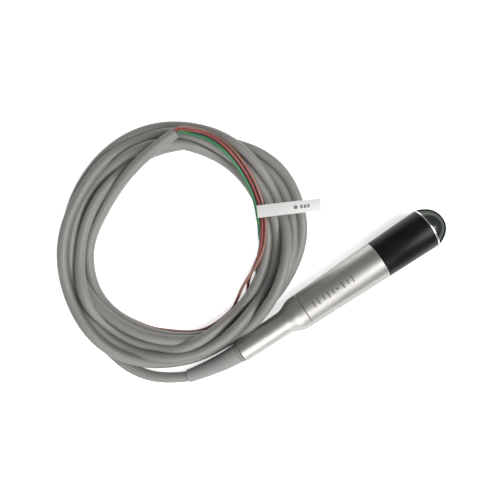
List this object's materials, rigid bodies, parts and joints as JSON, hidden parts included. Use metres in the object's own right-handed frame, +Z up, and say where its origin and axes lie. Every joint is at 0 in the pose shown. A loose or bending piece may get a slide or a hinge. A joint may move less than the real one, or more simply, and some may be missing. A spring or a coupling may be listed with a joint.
{
  "type": "water quality probe",
  "caption": "Round metal water quality probe with an insulated polished tip electrode and a strain relief, lying beside its loosely coiled grey cable with stripped cores.",
  "frame": {"origin": "middle of the bottom of the probe's own box, without its cable, on the surface that it lies on", "axes": "+X runs along the probe towards its tip, +Y towards the coil, +Z up"},
  "size_m": [0.2183, 0.164, 0.0251],
  "materials": {
    "stainless_satin": "satin, fine turned grain",
    "stainless_polished": "polished",
    "black_gloss_plastic": "gloss",
    "cable_jacket_grey": "soft satin",
    "boot_grey": "matte moulded",
    "seal_rubber": "matte",
    "brass": "machined",
    "copper": "bright copper alloy",
    "board_green": "lacquered",
    "component_black": "moulded",
    "white_plastic": "moulded",
    "green_core": "semi-gloss",
    "red_core": "semi-gloss",
    "brown_core": "semi-gloss",
    "blue_core": "semi-gloss",
    "label_film": "satin film"
  },
  "bodies": {
    "rear_housing": {"rear_shell": "stainless_satin", "gland_washer_rear": "brass", "cable_gland_seal": "seal_rubber", "gland_washer_front": "brass", "cable_clamp_ring": "white_plastic", "gland_nut": "brass", "board_support_ring": "white_plastic", "circuit_board": "board_green", "terminal_block": "white_plastic", "power_regulator": "component_black", "microcontroller": "component_black", "amplifier_chip": "component_black", "filter_inductor": "component_black", "input_capacitor": "component_black", "signal_capacitor": "component_black", "ground_spring_washer": "copper", "contact_carrier": "white_plastic", "tip_contact_spring": "copper", "temperature_sensor": "white_plastic", "inner_core_green": "green_core", "inner_core_red": "red_core", "inner_core_brown": "brown_core", "inner_core_blue": "blue_core", "strain_relief_boot": "boot_grey", "cable_lead": "cable_jacket_grey", "cable_coil": "cable_jacket_grey", "wire_green": "green_core", "wire_red": "red_core", "wire_brown": "brown_core", "wire_blue": "blue_core", "marker_flag": "label_film"},
    "thread_carrier": {"body_joint_o_ring": "seal_rubber"},
    "front_housing": {"probe_body": "stainless_satin", "insulator_sleeve": "black_gloss_plastic", "sleeve_o_ring": "seal_rubber", "tip_seal_ring": "seal_rubber", "sensor_tip": "stainless_polished", "tip_electrode_stud": "brass", "tip_washer": "brass", "tip_nut": "brass"}
  },
  "joints": [
    {"name": "front_turn", "type": "hinge", "parent": "rear_housing", "child": "thread_carrier", "pos_m": [-0.07181, 0, 0.00972], "axis": [0.9998, 0, 0.0211], "range_deg": [0, 1440]},
    {"name": "front_advance", "type": "slide", "parent": "thread_carrier", "child": "front_housing", "axis": [0.9998, 0, 0.0211], "range_m": [0, 0.006]}
  ],
  "couplings": [
    {"joint": "front_advance", "follows": "front_turn", "m_per_rad": 0.0002387}
  ]
}
